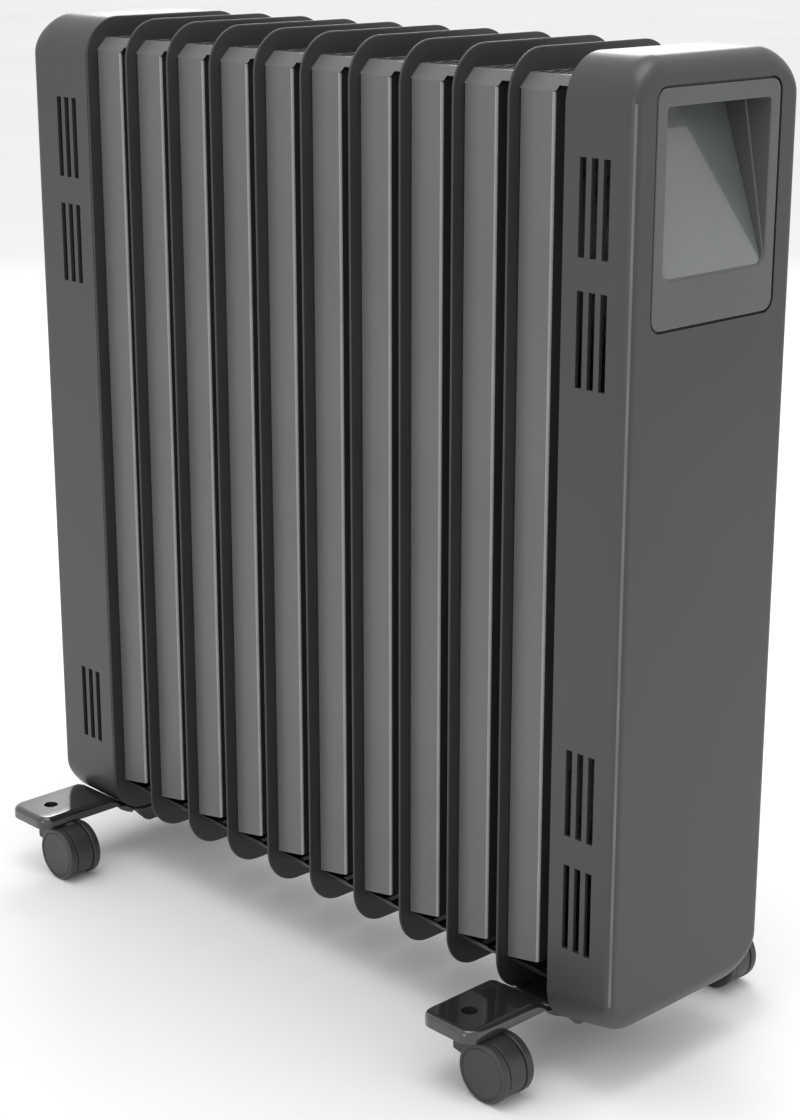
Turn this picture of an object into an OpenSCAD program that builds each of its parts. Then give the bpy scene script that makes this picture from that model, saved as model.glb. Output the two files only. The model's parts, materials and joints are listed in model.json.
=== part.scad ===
// Oil filled radiator heater on twin-wheel casters.
// X runs along the row of fins, with the control end at +X. The origin is on the floor,
// under the middle of the heater.

/* [Fins] */
// Number of fins that show between the two end covers
fin_count = 10; // [5:1:12]
// Distance from one fin to the next
fin_pitch = 45; // [38:1:56]
// Thickness of a fin plate
plate_t = 1.8; // [1:0.1:3]
// Height of a fin plate
plate_h = 596; // [480:1:720]
// Depth of a fin plate, front to back
plate_depth = 145; // [118:1:175]
// Corner radius of a fin plate
plate_corner = 27; // [15:1:34]
// Height of the lowest plate edge above the floor
fin_lift = 39; // [38:1:60]

/* [Air channels] */
// Width of the folded air channel beside each plate
channel_w = 27; // [20:1:32]
// How far a plate stands proud of its channel, front and rear
channel_inset = 8.5; // [5:0.5:14]
// How far a plate stands proud of the top grilles
grille_top_inset = 14; // [10:0.5:24]
// How far a plate stands proud of the bottom grilles
grille_low_inset = 18.5; // [12:0.5:24]
// Height of the sloping edges of a grille
grille_fold = 8.5; // [5:0.5:12]
// How much higher a grille's edge is over the gap beside the channel
grille_lip = 3; // [1:0.5:4]
// Thickness of the channel sheet
sheet_t = 0.8; // [0.6:0.1:2]
// Width across flats of a grille hole
grille_hole = 4.4; // [3:0.1:5]
// Distance between the grille holes
grille_pitch = 6.6; // [6:0.1:9]
// Width of an air slot in the bottom grilles
intake_w = 5; // [3:0.5:6]

/* [Oil circuit] */
// Thickness of the oil chamber pressed into a fin
core_t = 10; // [8:0.5:16]
// Thickness of the oil chamber's sheet
core_skin = 1.5; // [1:0.1:2.5]
// Outer diameter of the oil collars between the fins
collar_d = 38; // [30:1:44]
// Wall of an oil collar
collar_wall = 3; // [2:0.5:5]
// Distance from the plate's ends to the axis of the collars
header_inset = 56; // [50:1:80]
// Diameter of the heating element's tube
element_d = 8; // [6:0.5:9]

/* [End covers] */
// Length of the plain end cover
end_cover_len = 64; // [58:1:80]
// Length of the control housing
housing_len = 52; // [48:1:70]
// Wall of both covers
wall = 2.5; // [2:0.1:4]
// Radius of the covers' large corners, seen from the end
cover_corner = 28; // [20:1:34]
// Radius along the upright outer edges
edge_r = 5; // [3:0.5:8]
// Radius along the upper and lower outer edges
end_r = 14; // [8:1:16]
// How far the control housing hangs below the fins
housing_drop = 5; // [2:0.5:6]
// Rise of the housing's underside towards its outer face
underside_rise = 9; // [0:0.5:14]
// Width of a vent slot
slot_w = 4.9; // [3:0.1:6]
// Height of a vent slot
slot_h = 56; // [30:1:60]
// Distance between neighbouring vent slots
slot_pitch = 8.9; // [7:0.1:11]
// Height left between two slots in a pair
slot_gap = 19; // [8:1:30]
// Height from the cover's end to the nearest slot
slot_end = 56; // [40:1:80]

/* [Control end] */
// Width of the control bezel
bezel_w = 110; // [90:1:125]
// Height of the control bezel
bezel_h = 136; // [110:1:150]
// Corner radius of the bezel
bezel_corner = 8; // [4:0.5:14]
// Gap around the bezel
shut_gap = 0.8; // [0.3:0.1:1.5]
// Distance from the top of the housing to the bezel
bezel_drop = 17; // [17:1:40]
// Width of the sloping touch panel
window_w = 92; // [70:1:104]
// Height of the recess that holds it
window_h = 97; // [70:1:105]
// Width of the rim above the recess
window_rim = 11; // [6:0.5:16]
// Depth of the recess at its top
recess_depth = 34; // [20:1:36]
// Thickness of the touch panel
glass_t = 3; // [2:0.5:4]

/* [Feet] */
// Length of a foot bracket, front to back
foot_l = 268; // [250:1:320]
// Width of a foot bracket at its ends
foot_w = 45; // [38:1:52]
// Width of a foot bracket under the fins
foot_mid_w = 59; // [52:1:70]
// Height of the bracket's top at its ends above the floor
foot_top = 49.5; // [49.5:0.5:60]
// Depth of the turned-down rim at the ends
rim_h = 8.5; // [6:0.5:8.5]
// Thickness of the bracket sheet
foot_t = 2; // [1.5:0.1:3]
// Distance from the bracket's end to the caster stem
stem_inset = 23; // [18:1:30]
// Diameter of the U-bolt rod
bolt_d = 6; // [5:0.5:6]
// Diameter of a wing nut's body
nut_d = 9.4; // [8:0.1:12]

/* [Casters] */
// Diameter of a caster wheel
wheel_d = 40; // [32:1:40]
// Thickness of one wheel disc
wheel_t = 6; // [5.5:0.5:9]
// Width of a caster over both discs
caster_w = 27; // [24:0.5:32]
// Distance from the swivel axis to the axle
trail = 24; // [22:0.5:28]
// Diameter of the swivel stem
stem_d = 10; // [8:0.5:11]
// Diameter of the axle
axle_d = 5; // [4:0.5:6]

/* [Hidden] */
$fn = 64;
run_fit = 0.05;
plate_gap = 0.3;
cut = 1;

pack_len = fin_count * fin_pitch;
overall_len = end_cover_len + pack_len + housing_len;
// right face of the first visible plate
first_x = -overall_len / 2 + end_cover_len + plate_t;
cover_right = first_x - plate_t;
// right face of the hidden plate, which leaves room in the end cover for the oil filler plug
hidden_x = cover_right - end_cover_len + plate_t + 19;
back_left = first_x + pack_len - plate_t;
end_face = back_left + housing_len;
header_bore = collar_d - 2 * collar_wall;

plate_top = fin_lift + plate_h;
lower_z = fin_lift + header_inset;
upper_z = plate_top - header_inset;
channel_depth = plate_depth - 2 * channel_inset;
grille_top = plate_top - grille_top_inset;
grille_low = fin_lift + grille_low_inset;
grille_w = fin_pitch - plate_t - plate_gap;
grille_flat = channel_depth - 2 * grille_fold;
channel_z = grille_low + grille_fold;
channel_h = grille_top - grille_fold - channel_z;
core_margin = 8;

cover_depth = plate_depth;
housing_z = fin_lift - housing_drop;
housing_h = plate_top - housing_z;
slot_x = 23;
boss_d = 11;
screw_d = 4;
screw_head_d = 8;
screw_l = 14;
cover_screw_y = 40;
housing_screw_y = cover_depth / 2 - 14;
gland_d = 14;
gland_x = end_face - 20;
gland_z = fin_lift + slot_end - 20;

// distance from the middle of a foot bracket to its U-bolt, which clears the turned-down rim
bolt_offset = foot_mid_w / 2 - foot_t - plate_gap - nut_d / 2;
// middle of each foot bracket: one fills the last bay up to the housing, one is under the end cover
foot_x = [cover_right - 0.2 - foot_mid_w / 2, back_left - 0.2 - foot_mid_w / 2];
stem_y = foot_l / 2 - stem_inset;
mid_rim_h = 14;
mid_l = plate_depth - 2 * plate_corner + 13;
bolt_leg_y = collar_d / 2 + bolt_d / 2;

axle_z = wheel_d / 2;
hood_gap = 0.7;
hood_w = caster_w - 2 * wheel_t - 2 * hood_gap;
sleeve_d = stem_d + 6;
boss_top = foot_top - rim_h - 0.5;
stem_top = foot_top - 3;

bezel_z = plate_top - bezel_drop - bezel_h / 2;
housing_screw_z = [
    fin_lift + slot_end + slot_h + slot_gap / 2,
    plate_top - slot_end - 2 * slot_h - slot_gap - 12
];
window_top = bezel_z + bezel_h / 2 - window_rim;
slope = atan(recess_depth / window_h);
board_t = 1.6;
panel_gap = 0.2;
panel_low = glass_t * tan(slope) + panel_gap;
panel_high = window_h / cos(slope) - panel_gap;

function fin_x(i) = i == 0 ? hidden_x : first_x + (i - 1) * fin_pitch;
// Gap between the oil chamber of fin i and the next plate
function bay_len(i) = fin_x(i + 1) - plate_t - fin_x(i) - core_t;
function nums(name, a, b) = [for (i = [a:b]) str(name, "_", i)];
function caster_x(k) = foot_x[k > 2 ? 1 : 0];
function caster_y(k) = k % 2 == 1 ? -stem_y : stem_y;

// ---- shared shapes ----

// Rectangle with round corners, centred, w along X and h along Y
module round_rect(w, h, r) {
    square([w - 2 * r, h], center = true);
    square([w, h - 2 * r], center = true);
    for (sx = [-1, 1], sy = [-1, 1])
        translate([sx * (w / 2 - r), sy * (h / 2 - r)]) circle(r);
}

// Stands a drawing up across the heater: drawing X becomes Y, drawing Y becomes Z
module across(x, t) {
    translate([x, 0, 0]) rotate([90, 0, 90]) linear_extrude(t) children();
}

// Cylinder along X from x with length l
module x_rod(d, x, l, y = 0, z = 0) {
    translate([x, y, z]) rotate([0, 90, 0]) cylinder(d = d, h = l);
}

// ---- fins ----

module header_bores(x, t) {
    for (z = [lower_z, upper_z]) x_rod(header_bore, x, t, 0, z);
}

// Oil chamber pressed into a fin, with its cavity
module core(x) {
    core_w = channel_depth - 2 * core_margin;
    core_h = channel_h - 2 * core_margin;
    core_r = 20;
    mid = channel_z + channel_h / 2;
    difference() {
        across(x, core_t) translate([0, mid]) round_rect(core_w, core_h, core_r);
        across(x + core_skin, core_t - 2 * core_skin) translate([0, mid])
            round_rect(core_w - 2 * core_skin, core_h - 2 * core_skin, core_r - core_skin);
    }
}

module fin(i) {
    color([0.2, 0.2, 0.2]) difference() {
        union() {
            across(fin_x(i) - plate_t, plate_t) translate([0, fin_lift + plate_h / 2])
                round_rect(plate_depth, plate_h, plate_corner);
            core(fin_x(i));
        }
        header_bores(fin_x(i) - plate_t - cut, core_t + plate_t + 2 * cut);
    }
}

// Last fin of the row, hidden in the end cover, with a smaller plate
module end_fin() {
    x = fin_x(0);
    color([0.24, 0.24, 0.24]) difference() {
        union() {
            across(x - plate_t, plate_t) translate([0, channel_z + channel_h / 2])
                round_rect(channel_depth, channel_h, 20);
            core(x);
        }
        header_bores(x - plate_t - cut, core_t + plate_t + 2 * cut);
    }
}

// ---- air channels ----

// Folded sheet with a front, a rear and one side wall, open towards its plate
module channel(i) {
    x = fin_x(i);
    color([0.42, 0.42, 0.42]) difference() {
        translate([x, -channel_depth / 2, channel_z]) cube([channel_w, channel_depth, channel_h]);
        translate([x - cut, -channel_depth / 2 + sheet_t, channel_z - cut])
            cube([channel_w - sheet_t + cut, channel_depth - 2 * sheet_t, channel_h + 2 * cut]);
        for (z = [lower_z, upper_z]) x_rod(collar_d + 2 * plate_gap, x, channel_w + cut, 0, z);
    }
}

// End view of a grille: a flat top with sloping edges, smaller by t on every face
module grille_end(t) {
    foot = channel_depth / 2 - t;
    bend = t * tan(22.5);
    top = grille_fold - t;
    polygon([
        [-foot, -cut], [-foot, -bend], [-foot + top + bend, top],
        [foot - top - bend, top], [foot, -bend], [foot, -cut]
    ]);
}

// Rows of six-sided holes over the flat of a top grille
module grille_holes() {
    rows = floor((grille_flat - grille_hole) / grille_pitch / 2);
    cols = floor((grille_w - grille_hole) / grille_pitch);
    for (r = [-rows:rows], c = [0:cols - 1])
        translate([
            grille_w / 2 + (c - (cols - 1) / 2 + (r % 2 == 0 ? 0.25 : -0.25)) * grille_pitch,
            r * grille_pitch
        ]) circle(d = grille_hole / cos(30), $fn = 6);
}

// Long slots over the flat of a bottom grille
module intake_slots() {
    step = 2 * intake_w;
    slots = floor((grille_w - intake_w) / step);
    for (c = [0:slots - 1])
        translate([grille_w / 2 + (c - (slots - 1) / 2) * step, 0])
            square([intake_w, grille_flat - step], center = true);
}

// Cap of one bay with its foot at the origin. The children are the openings in its flat.
module grille() {
    translate([0, 0, grille_fold - sheet_t]) linear_extrude(sheet_t) difference() {
        translate([0, -grille_flat / 2]) square([grille_w, grille_flat]);
        children();
    }
    difference() {
        across(0, grille_w) difference() {
            grille_end(0);
            translate([-channel_depth, -2 * cut]) square([2 * channel_depth, 2 * cut]);
            translate([-grille_flat / 2, 0]) square([grille_flat, 2 * grille_fold]);
        }
        across(-cut, grille_w + 2 * cut) grille_end(sheet_t);
        translate([channel_w, -channel_depth, -cut]) cube([fin_pitch, 2 * channel_depth, grille_lip + cut]);
    }
}

module top_grilles() {
    color([0.42, 0.42, 0.42]) for (i = [1:fin_count])
        translate([fin_x(i), 0, grille_top - grille_fold]) grille() grille_holes();
}

// The bay over the right bracket also has two holes for the legs of its U-bolt
module bottom_grilles() {
    color([0.42, 0.42, 0.42]) difference() {
        for (i = [1:fin_count])
            translate([fin_x(i), 0, grille_low + grille_fold]) mirror([0, 0, 1]) grille() intake_slots();
        for (s = [-1, 1])
            translate([foot_x[1] + bolt_offset, s * bolt_leg_y, 0])
                cylinder(d = bolt_d + 2, h = grille_low + 2 * cut);
    }
}

// ---- oil circuit ----

// Short tubes that join the fins' chambers, in a lower and an upper row
module oil_collars() {
    color([0.2, 0.2, 0.2]) for (i = [0:fin_count], z = [lower_z, upper_z]) difference() {
        x_rod(collar_d, fin_x(i) + core_t, bay_len(i), 0, z);
        x_rod(header_bore, fin_x(i) + core_t - cut, bay_len(i) + 2 * cut, 0, z);
    }
}

// Welded caps that close the collars' open ends
module header_caps() {
    left = fin_x(0) - plate_t;
    color([0.3, 0.3, 0.3]) {
        x_rod(collar_d, left - 3, 3, 0, lower_z);
        difference() {
            x_rod(collar_d, left - 3, 3, 0, upper_z);
            x_rod(12, left - 3 - cut, 3 + 2 * cut, 0, upper_z);
        }
        x_rod(collar_d, back_left + plate_t, 3, 0, upper_z);
    }
}

module oil_filler_plug() {
    left = fin_x(0) - plate_t;
    color([0.75, 0.7, 0.5]) {
        translate([left - 3 - 5, 0, upper_z]) rotate([0, 90, 0]) cylinder(d = 17, h = 5, $fn = 6);
        x_rod(12, left - 3, 9, 0, upper_z);
    }
}

// Hairpin tube that runs through the lower collars
module heating_element() {
    reach = overall_len - end_cover_len - housing_len - fin_pitch * 0.7;
    leg = header_bore / 4 - 0.5;
    start = back_left + plate_t + 16;
    color([0.7, 0.45, 0.3]) {
        for (s = [-1, 1]) x_rod(element_d, start - reach, reach, s * leg, lower_z);
        translate([start - reach, 0, lower_z]) rotate([0, 0, 90])
            rotate_extrude(angle = 180) translate([leg, 0]) circle(d = element_d);
    }
}

// Threaded plug that seals the lower collars and holds the element
module element_flange() {
    left = back_left + plate_t + 2;
    color([0.78, 0.78, 0.76]) difference() {
        union() {
            translate([left, 0, lower_z]) rotate([0, 90, 0])
                cylinder(d = collar_d + 8, h = 7, $fn = 6);
            x_rod(header_bore, left - 22, 22, 0, lower_z);
        }
        for (s = [-1, 1]) x_rod(element_d, left - 30, 60, s * (header_bore / 4 - 0.5), lower_z);
    }
}

module flange_gasket() {
    color([0.1, 0.1, 0.1]) difference() {
        x_rod(collar_d + 4, back_left + plate_t, 2, 0, lower_z);
        x_rod(header_bore, back_left + plate_t - cut, 2 + 2 * cut, 0, lower_z);
    }
}

// Snap disc on the upper cap
module thermal_cutout() {
    left = back_left + plate_t + 3;
    color([0.85, 0.8, 0.7]) {
        x_rod(20, left, 5, 0, upper_z);
        x_rod(16, left + 5, 3, 0, upper_z);
        for (s = [-1, 1]) translate([left + 8, s * 5 - 2, upper_z - 0.4]) cube([3.5, 4, 0.8]);
    }
}

// ---- end covers ----

// Side view of a cover from x = 0 inwards to x = -l, with the outer corners rounded.
// The drawing's X is the distance from the outer face.
module cover_side(l, h, rise, r) {
    difference() {
        square([l, h]);
        polygon([[-cut, -cut], [l, -cut], [l, 0], [0, rise], [-cut, rise]]);
        translate([0, rise]) corner_cut(r);
        translate([0, h]) mirror([0, 1]) corner_cut(r);
    }
}

// What a radius r takes off a corner at the origin
module corner_cut(r) {
    difference() {
        translate([-cut, -cut]) square(r + cut);
        translate([r, r]) circle(r);
    }
}

// A cover body: its outer face is at x = 0 and it runs towards +X
module cover_body(l, w, h, rise, rc, re, rt) {
    intersection() {
        rotate([90, 0, 90]) linear_extrude(l) translate([0, h / 2]) round_rect(w, h, rc);
        translate([0, w / 2 + cut, 0]) rotate([90, 0, 0]) linear_extrude(w + 2 * cut)
            cover_side(l, h, rise, rt);
        translate([0, 0, -cut]) linear_extrude(h + 2 * cut) difference() {
            translate([0, -w / 2]) square([l, w]);
            for (s = [-1, 1]) on_side(s) translate([0, -w / 2]) corner_cut(re);
        }
    }
}

// The children as they are for s = -1, and at the opposite side for s = 1
module on_side(s) {
    mirror([0, s > 0 ? 1 : 0, 0]) children();
}

module cover_shell(l, h, rise) {
    difference() {
        cover_body(l, cover_depth, h, rise, cover_corner, edge_r, end_r);
        translate([wall, 0, wall])
            cover_body(l, cover_depth - 2 * wall, h - 2 * wall, rise, cover_corner - wall,
                edge_r - wall, end_r - wall);
    }
}

// Three slots side by side through both side walls
module slot_row(z) {
    for (c = [-1:1]) translate([c * slot_pitch - slot_w / 2, -cover_depth / 2 - cut, z])
        cube([slot_w, cover_depth + 2 * cut, slot_h]);
}

// Two rows of slots near the top of a cover of height h, and some near the bottom
module vent_slots(h, lower_rows) {
    step = slot_h + slot_gap;
    for (r = [0:1]) slot_row(h - slot_end - slot_h - r * step);
    for (r = [0:lower_rows - 1]) slot_row(slot_end + r * step);
}

module end_cover() {
    color([0.33, 0.33, 0.33]) difference() {
        union() {
            difference() {
                translate([cover_right - end_cover_len, 0, fin_lift])
                    cover_shell(end_cover_len, plate_h, 0);
                translate([cover_right - end_cover_len / 2 + 7, 0, fin_lift]) vent_slots(plate_h, 1);
            }
            for (z = [lower_z, upper_z], s = [-1, 1])
                x_rod(boss_d, cover_right - end_cover_len + wall / 2,
                    hidden_x - plate_t - cover_right + end_cover_len - wall / 2, s * cover_screw_y, z);
        }
        for (z = [lower_z, upper_z], s = [-1, 1])
            x_rod(screw_d, cover_right - end_cover_len - cut, end_cover_len, s * cover_screw_y, z);
        // way out for the U-bolt and room for the foot
        translate([cover_right - bolt_offset - 10, -40, fin_lift - cut]) cube([30, 80, wall + 2 * cut]);
    }
}

module bezel_outline(grow) {
    translate([0, bezel_z]) round_rect(bezel_w + 2 * grow, bezel_h + 2 * grow, bezel_corner + grow);
}

module housing_bosses() {
    for (z = housing_screw_z, s = [-1, 1])
        x_rod(boss_d, back_left + plate_t, housing_len - plate_t - wall / 2, s * housing_screw_y, z);
}

module control_housing() {
    color([0.33, 0.33, 0.33]) difference() {
        union() {
            difference() {
                translate([end_face, 0, housing_z]) mirror([1, 0, 0])
                    cover_shell(housing_len, housing_h, underside_rise);
                translate([back_left + slot_x, 0, fin_lift]) vent_slots(plate_h, 2);
            }
            housing_bosses();
        }
        across(end_face - wall - cut, wall + 2 * cut) bezel_outline(shut_gap);
        for (z = housing_screw_z, s = [-1, 1])
            x_rod(screw_d, back_left, screw_l + plate_t, s * housing_screw_y, z);
        x_rod_y(gland_d, cover_depth / 2 - wall - cut, wall + 2 * cut, gland_x, gland_z);
    }
}

// Cylinder along Y from y with length l
module x_rod_y(d, y, l, x, z) {
    translate([x, y, z]) rotate([-90, 0, 0]) cylinder(d = d, h = l);
}

// Galvanised plate that closes the housing against the fins
module back_plate() {
    w = cover_depth - 2 * wall - 2 * plate_gap;
    // the housing's floor has already risen a little where the plate's outer face meets it
    low = housing_z + wall + underside_rise * (wall + plate_t) / housing_len + plate_gap;
    high = plate_top - wall - plate_gap;
    color([0.62, 0.62, 0.6]) difference() {
        across(back_left, plate_t) translate([0, (low + high) / 2])
            round_rect(w, high - low, cover_corner - wall);
        x_rod(header_bore, back_left - cut, plate_t + 2 * cut, 0, lower_z);
        x_rod(header_bore, back_left - cut, plate_t + 2 * cut, 0, upper_z);
        for (z = housing_screw_z, s = [-1, 1])
            x_rod(screw_d, back_left - cut, plate_t + 2 * cut, s * housing_screw_y, z);
    }
}

// Screws of both covers
module cover_screws() {
    left = cover_right - end_cover_len;
    color([0.3, 0.3, 0.3]) {
        for (z = [lower_z, upper_z], s = [-1, 1]) {
            x_rod(screw_head_d, left - 1.5, 1.5, s * cover_screw_y, z);
            x_rod(screw_d, left, hidden_x - plate_t - left, s * cover_screw_y, z);
        }
        for (z = housing_screw_z, s = [-1, 1]) {
            x_rod(screw_head_d, back_left - 2, 2, s * housing_screw_y, z);
            x_rod(screw_d, back_left, screw_l + plate_t, s * housing_screw_y, z);
        }
    }
}

// ---- control end ----

// Everything in front of a plane that slopes like the touch panel and lies d behind it,
// for a width w
module before_panel(d, w) {
    translate([end_face, 0, window_top - window_h]) rotate([0, -slope, 0])
        translate([-d, -w / 2, -window_h]) cube([2 * recess_depth + window_h, w, 3 * window_h]);
}

// Block behind the window, from the outer face inwards
module window_block(margin) {
    translate([end_face - recess_depth - 20, -window_w / 2 - margin, window_top - window_h - margin])
        cube([recess_depth + 20 + cut, window_w + 2 * margin, window_h + 2 * margin]);
}

module control_bezel() {
    ledge = 5;
    color([0.4, 0.41, 0.42]) difference() {
        union() {
            across(end_face - wall, wall) bezel_outline(0);
            intersection() {
                window_block(2);
                before_panel(glass_t + 2, window_w + 4);
                translate([end_face - recess_depth - 12, -bezel_w / 2, 0])
                    cube([recess_depth + 12, bezel_w, plate_top]);
            }
        }
        intersection() {
            window_block(0);
            before_panel(glass_t, window_w);
        }
        translate([end_face, 0, window_top - window_h]) rotate([0, -slope, 0])
            translate([-glass_t - 4, -window_w / 2 + ledge, ledge + 8])
                cube([8, window_w - 2 * ledge, window_h - 2 * ledge - 12]);
    }
}

// Flat sheet that follows the panel's slope: lies d behind the front plane, t thick
module sloped_sheet(d, t, w, low, high) {
    translate([end_face, 0, window_top - window_h]) rotate([0, -slope, 0])
        translate([-d - t, -w / 2, low]) cube([t, w, high - low]);
}

module touch_panel() {
    color([0.47, 0.49, 0.49])
        sloped_sheet(0, glass_t, window_w - 2 * panel_gap, panel_low, panel_high);
}

module display_board() {
    color([0.1, 0.35, 0.2])
        sloped_sheet(glass_t + 2, board_t, window_w - 16, 22, panel_high - 10);
}

// Board with relays and terminals, on stand-offs from the back plate
module power_board() {
    x = back_left + plate_t;
    z = (lower_z + bezel_z) / 2 - 60;
    color([0.12, 0.38, 0.2]) {
        translate([x + 8, -40, z]) cube([board_t, 80, 120]);
        for (sy = [-1, 1], dz = [8, 112]) x_rod(6, x, 8, sy * 33, z + dz);
    }
    color([0.2, 0.2, 0.25]) {
        for (k = [0, 1]) translate([x + 8 + board_t, -32 + k * 24, z + 70]) cube([16, 18, 22]);
        translate([x + 8 + board_t, -30, z + 10]) cube([12, 60, 14]);
    }
}

module tip_over_switch() {
    x = back_left + plate_t;
    color([0.9, 0.9, 0.88]) {
        translate([x, 24, lower_z + 4]) cube([2, 30, 30]);
        translate([x + 2, 28, lower_z + 6]) cube([18, 22, 22]);
    }
}

// Bushing for the mains cord, in the housing's rear wall
module cord_gland() {
    color([0.12, 0.12, 0.12]) difference() {
        union() {
            x_rod_y(gland_d, cover_depth / 2 - wall, wall, gland_x, gland_z);
            x_rod_y(gland_d + 6, cover_depth / 2, 3, gland_x, gland_z);
            x_rod_y(gland_d + 4, cover_depth / 2 - wall - 3, 3, gland_x, gland_z);
        }
        x_rod_y(8, cover_depth / 2 - wall - 3 - cut, wall + 6 + 2 * cut, gland_x, gland_z);
    }
}

// ---- feet ----

// Outline of a bracket from above, smaller by d all round
module foot_plan(d) {
    round_rect(foot_w - 2 * d, foot_l - 2 * d, 10 - d);
    round_rect(foot_mid_w - 2 * d, mid_l - 2 * d, 20 - d);
}

// Side of a bracket below its top surface, lowered by d: the saddle follows the plates
module foot_side(d, floor_z) {
    arc_y = plate_depth / 2 - plate_corner;
    arc_z = fin_lift + plate_corner;
    difference() {
        translate([-foot_l / 2, floor_z]) square([foot_l, foot_top - d - floor_z]);
        translate([-arc_y, fin_lift - plate_gap - d]) square([2 * arc_y, foot_top]);
        for (s = [-1, 1]) translate([s * arc_y, arc_z]) circle(plate_corner + plate_gap + d);
    }
}

module foot(x) {
    reach = foot_top;
    color([0.17, 0.17, 0.17]) translate([x, 0, 0]) difference() {
        union() {
            difference() {
                intersection() {
                    translate([0, 0, fin_lift - mid_rim_h]) linear_extrude(reach) foot_plan(0);
                    across(-foot_mid_w, 2 * foot_mid_w) foot_profile();
                }
                intersection() {
                    linear_extrude(reach) foot_plan(foot_t);
                    across(-foot_mid_w, 2 * foot_mid_w) foot_side(foot_t, 0);
                }
            }
            for (s = [-1, 1]) translate([0, s * stem_y, foot_top - rim_h])
                cylinder(d = sleeve_d, h = rim_h - foot_t / 2);
        }
        for (s = [-1, 1]) translate([0, s * stem_y, 0]) cylinder(d = stem_d + 2 * run_fit, h = 2 * reach);
        for (s = [-1, 1]) translate([bolt_offset, s * bolt_leg_y, 0]) cylinder(d = bolt_d + 0.6, h = reach);
    }
}

// Closed side view of a bracket: top surface above, rim edge below
module foot_profile() {
    low = fin_lift - mid_rim_h;
    tip_low = foot_top - rim_h;
    difference() {
        foot_side(0, low);
        for (s = [-1, 1]) mirror([s > 0 ? 1 : 0, 0])
            polygon([
                [-foot_l / 2 - cut, low - cut], [-mid_l / 2 + 12, low - cut],
                [-mid_l / 2 - 8, tip_low], [-foot_l / 2 - cut, tip_low]
            ]);
    }
}

module left_foot() {
    foot(foot_x[0]);
}

module right_foot() {
    foot(foot_x[1]);
}

// A U-bolt hangs over the lower collar beside each bracket
module foot_u_bolts() {
    low = fin_lift - plate_gap - foot_t - 12;
    color([0.72, 0.72, 0.7]) for (x = foot_x) translate([x + bolt_offset, 0, 0]) {
        for (s = [-1, 1]) translate([0, s * bolt_leg_y, low]) cylinder(d = bolt_d, h = lower_z - low);
        translate([0, 0, lower_z]) rotate([90, 0, 90])
            rotate_extrude(angle = 180) translate([bolt_leg_y, 0]) circle(d = bolt_d);
    }
}

module foot_wing_nuts() {
    h = 7;
    top = fin_lift - plate_gap - foot_t;
    color([0.75, 0.75, 0.72])
        for (x = foot_x, s = [-1, 1]) translate([x + bolt_offset, s * bolt_leg_y, top - h]) difference() {
            union() {
                cylinder(d = nut_d, h = h);
                translate([-2.2, -10, 1]) cube([2, 20, 4]);
            }
            translate([0, 0, -cut]) cylinder(d = bolt_d, h = h + 2 * cut);
        }
}

// ---- casters ----

// Moves a caster part, drawn with its swivel axis at the origin, to corner k
module at_corner(k) {
    translate([caster_x(k), caster_y(k), 0]) children();
}

module caster_stem(k) {
    color([0.75, 0.75, 0.73]) at_corner(k) {
        translate([0, 0, boss_top]) cylinder(d = stem_d + 3, h = 0.5 - 0.15);
        translate([0, 0, boss_top - 5]) cylinder(d = stem_d, h = stem_top - boss_top + 5);
    }
}

module caster_hood(k) {
    r = wheel_d / 2 - 0.5;
    boss_low = axle_z + sqrt(pow(wheel_d / 2 + hood_gap, 2) - pow(trail - sleeve_d / 2, 2));
    color([0.19, 0.19, 0.19]) at_corner(k) difference() {
        union() {
            translate([0, hood_w / 2, 0]) rotate([90, 0, 0]) linear_extrude(hood_w) difference() {
                union() {
                    translate([trail, axle_z]) circle(r);
                    translate([-sleeve_d / 2, axle_z]) square([trail, boss_top - axle_z]);
                }
                square([trail + wheel_d, 6]);
            }
            translate([0, 0, boss_low]) cylinder(d = sleeve_d, h = boss_top - boss_low);
        }
        translate([0, 0, boss_top - 5]) cylinder(d = stem_d, h = 5 + cut);
        translate([trail, caster_w / 2, axle_z]) rotate([90, 0, 0])
            cylinder(d = axle_d + 2 * run_fit, h = caster_w);
    }
}

// Half section of a wheel disc: radius along X, thickness along Y, outer face on top
module wheel_section() {
    r = wheel_d / 2;
    soft = 2;
    difference() {
        translate([axle_d / 2, 0]) square([r - axle_d / 2, wheel_t]);
        translate([r, wheel_t]) rotate(180) corner_cut(soft);
        translate([0, -cut]) square([r - 4, 2.5 + cut]);
        translate([r - 5, wheel_t - 0.6]) square([1, 0.6 + cut]);
    }
    translate([axle_d / 2, 0]) square([3, 3]);
}

module caster_wheels(k) {
    color([0.2, 0.2, 0.2]) at_corner(k) for (s = [-1, 1])
        translate([trail, s * (caster_w / 2 - wheel_t), axle_z]) rotate([s < 0 ? 90 : -90, 0, 0])
            rotate_extrude() wheel_section();
}

module caster_axle(k) {
    l = caster_w - 4;
    color([0.78, 0.78, 0.76]) at_corner(k)
        translate([trail, l / 2, axle_z]) rotate([90, 0, 0]) cylinder(d = axle_d, h = l);
}

end_fin();
for (i = [1:fin_count]) {
    fin(i);
    channel(i);
}
top_grilles();
bottom_grilles();
oil_collars();
header_caps();
oil_filler_plug();
heating_element();
element_flange();
flange_gasket();
thermal_cutout();
end_cover();
control_housing();
back_plate();
cover_screws();
control_bezel();
touch_panel();
display_board();
power_board();
tip_over_switch();
cord_gland();
left_foot();
right_foot();
foot_u_bolts();
foot_wing_nuts();
for (k = [1:4]) {
    caster_stem(k);
    caster_hood(k);
    caster_wheels(k);
    caster_axle(k);
}
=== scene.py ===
import json
import math

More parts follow.
